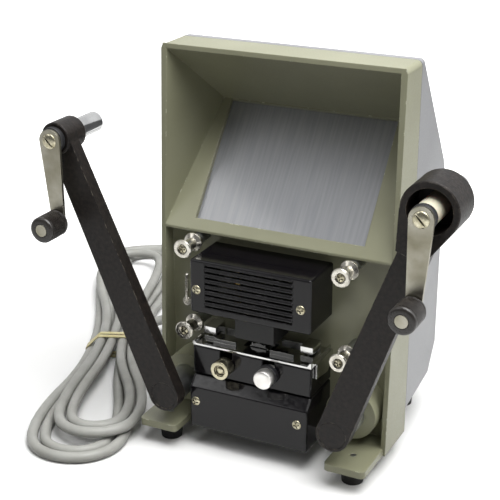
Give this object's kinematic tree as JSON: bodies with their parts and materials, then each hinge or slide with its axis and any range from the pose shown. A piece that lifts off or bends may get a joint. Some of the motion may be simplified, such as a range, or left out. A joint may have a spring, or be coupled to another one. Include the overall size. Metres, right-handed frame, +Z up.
{
  "type": "film editor viewer",
  "caption": "Table-top viewer for cutting narrow home-movie film, with a hooded screen, film stage and two folding winding arms with cranks.",
  "frame": {"origin": "on the table under the middle of the viewer's bounding box, measured without the mains lead", "axes": "+X to the user's right, +Y away from the user, +Z up"},
  "size_m": [0.3882, 0.366, 0.2485],
  "materials": {
    "casting_paint": "satin grey-green hammered paint on a die casting",
    "cover_paint": "dark grey wrinkle paint on sheet steel",
    "tray_zinc": "dark grey painted sheet steel",
    "rubber_black": "matt",
    "screw_steel": "nickel plated, worn",
    "frosted_screen": "ground on its inner face",
    "clamp_steel": "matt black",
    "gloss_black": "glossy moulding",
    "bright_chrome": "polished",
    "prism_glass": "clear polished",
    "mirror_silver": "front silvered",
    "bracket_steel": "plain",
    "bulb_glass": "clear",
    "bulb_brass": "plain",
    "socket_plastic": "moulded",
    "condenser_black": "matt black paint",
    "coil_tape": "varnished tape over copper wire",
    "core_steel": "laminated sheet",
    "lens_barrel_alloy": "black anodised",
    "knob_cream": "moulded",
    "button_white": "moulded",
    "spring_steel": "plain wire",
    "arm_black": "black crackle paint on a die casting",
    "spindle_steel": "polished",
    "crank_nickel": "satin nickel",
    "grip_black": "fine straight knurl",
    "cord_grey": "flexible vinyl",
    "plug_black": "moulded",
    "band_rubber": "pale natural rubber"
  },
  "bodies": {
    "housing": {"base_tray": "tray_zinc", "box_screws": "screw_steel", "bulb_cap": "bulb_brass", "condenser_holder": "condenser_black", "condenser_lens": "prism_glass", "cord_hank": "cord_grey", "cord_lead": "cord_grey", "cord_plug": "plug_black", "cord_strain_relief": "rubber_black", "cord_tie": "band_rubber", "cover_screws": "screw_steel", "film_guides": "bright_chrome", "film_track": "bright_chrome", "foot_screws": "screw_steel", "front_casting": "casting_paint", "lamp_bulb": "bulb_glass", "lamp_house": "gloss_black", "lamp_socket": "socket_plastic", "left_arm_bolt": "arm_black", "left_arm_spacer": "bracket_steel", "lower_cover": "gloss_black", "main_mirror": "mirror_silver", "main_mirror_bracket": "bracket_steel", "marker_spring": "spring_steel", "prism_housing": "gloss_black", "rear_cover": "cover_paint", "relay_mirror": "mirror_silver", "relay_mirror_bracket": "bracket_steel", "right_arm_bolt": "arm_black", "right_arm_spacer": "bracket_steel", "roller_posts": "bracket_steel", "roller_screws": "screw_steel", "rubber_feet": "rubber_black", "screen_clamp": "clamp_steel", "screen_glass": "frosted_screen", "stage_mirror": "prism_glass", "transformer_coil": "coil_tape", "transformer_core": "core_steel"},
    "left_arm": {"left_arm": "arm_black"},
    "right_arm": {"right_arm": "arm_black"},
    "left_winder": {"left_spindle": "spindle_steel", "left_crank": "crank_nickel", "left_crank_screw": "screw_steel"},
    "right_winder": {"right_spindle": "spindle_steel", "right_crank": "crank_nickel", "right_crank_screw": "screw_steel"},
    "left_grip": {"left_grip": "grip_black"},
    "right_grip": {"right_grip": "grip_black"},
    "focus_knob": {"focus_knob": "knob_cream"},
    "projection_lens": {"lens_barrel": "lens_barrel_alloy", "lens_elements": "prism_glass"},
    "marker_button": {"marker_button": "button_white"},
    "lamp_switch": {"lamp_switch_lever": "bright_chrome"},
    "prism_drum": {"film_sprocket": "bright_chrome", "rotating_prism": "prism_glass"},
    "upper_left_roller": {"upper_left_roller": "bright_chrome"},
    "upper_right_roller": {"upper_right_roller": "bright_chrome"},
    "lower_left_roller": {"lower_left_roller": "bright_chrome"},
    "lower_right_roller": {"lower_right_roller": "bright_chrome"}
  },
  "joints": [
    {"name": "left_arm_fold", "type": "hinge", "parent": "housing", "child": "left_arm", "pos_m": [-0.05252, -0.0605, 0.0385], "axis": [0, 1, 0], "range_deg": [-56, 11]},
    {"name": "right_arm_fold", "type": "hinge", "parent": "housing", "child": "right_arm", "pos_m": [0.06008, -0.0605, 0.0385], "axis": [0, 1, 0], "range_deg": [-8, 60]},
    {"name": "left_crank_turn", "type": "hinge", "parent": "left_arm", "child": "left_winder", "pos_m": [-0.12126, -0.053, 0.19508], "axis": [0, 1, 0], "continuous": true},
    {"name": "left_grip_spin", "type": "hinge", "parent": "left_winder", "child": "left_grip", "pos_m": [-0.11812, -0.082, 0.14518], "axis": [0, 1, 0], "continuous": true},
    {"name": "right_crank_turn", "type": "hinge", "parent": "right_arm", "child": "right_winder", "pos_m": [0.11446, -0.053, 0.18791], "axis": [0, 1, 0], "continuous": true},
    {"name": "right_grip_spin", "type": "hinge", "parent": "right_winder", "child": "right_grip", "pos_m": [0.11254, -0.095, 0.13795], "axis": [0, 1, 0], "continuous": true},
    {"name": "upper_left_roller_spin", "type": "hinge", "parent": "housing", "child": "upper_left_roller", "pos_m": [-0.04772, -0.039, 0.13], "axis": [0, 1, 0], "continuous": true},
    {"name": "upper_right_roller_spin", "type": "hinge", "parent": "housing", "child": "upper_right_roller", "pos_m": [0.05528, -0.039, 0.13], "axis": [0, 1, 0], "continuous": true},
    {"name": "lower_left_roller_spin", "type": "hinge", "parent": "housing", "child": "lower_left_roller", "pos_m": [-0.04772, -0.039, 0.076], "axis": [0, 1, 0], "continuous": true},
    {"name": "lower_right_roller_spin", "type": "hinge", "parent": "housing", "child": "lower_right_roller", "pos_m": [0.05528, -0.039, 0.076], "axis": [0, 1, 0], "continuous": true},
    {"name": "focus_turn", "type": "hinge", "parent": "housing", "child": "focus_knob", "pos_m": [-0.01822, -0.031, 0.059], "axis": [0, 1, 0], "range_deg": [-270, 270]},
    {"name": "lens_slide", "type": "slide", "parent": "housing", "child": "projection_lens", "axis": [0, 1, 0], "range_m": [-0.0015, 0.0015]},
    {"name": "marker_press", "type": "slide", "parent": "housing", "child": "marker_button", "axis": [0, 1, 0], "range_m": [0, 0.003], "stiffness_N_per_m": 300, "springref_m": -0.003, "deforming": ["marker_spring"]},
    {"name": "lamp_switch_swing", "type": "hinge", "parent": "housing", "child": "lamp_switch", "pos_m": [-0.05622, -0.025, 0.0865], "axis": [0, 1, 0], "range_deg": [-15, 15]},
    {"name": "prism_spin", "type": "hinge", "parent": "housing", "child": "prism_drum", "pos_m": [-0.00142, -0.031, 0.0645], "axis": [0, 1, 0], "continuous": true}
  ],
  "couplings": [
    {"joint": "focus_turn", "follows": "lens_slide", "rad_per_m": 3141}
  ]
}
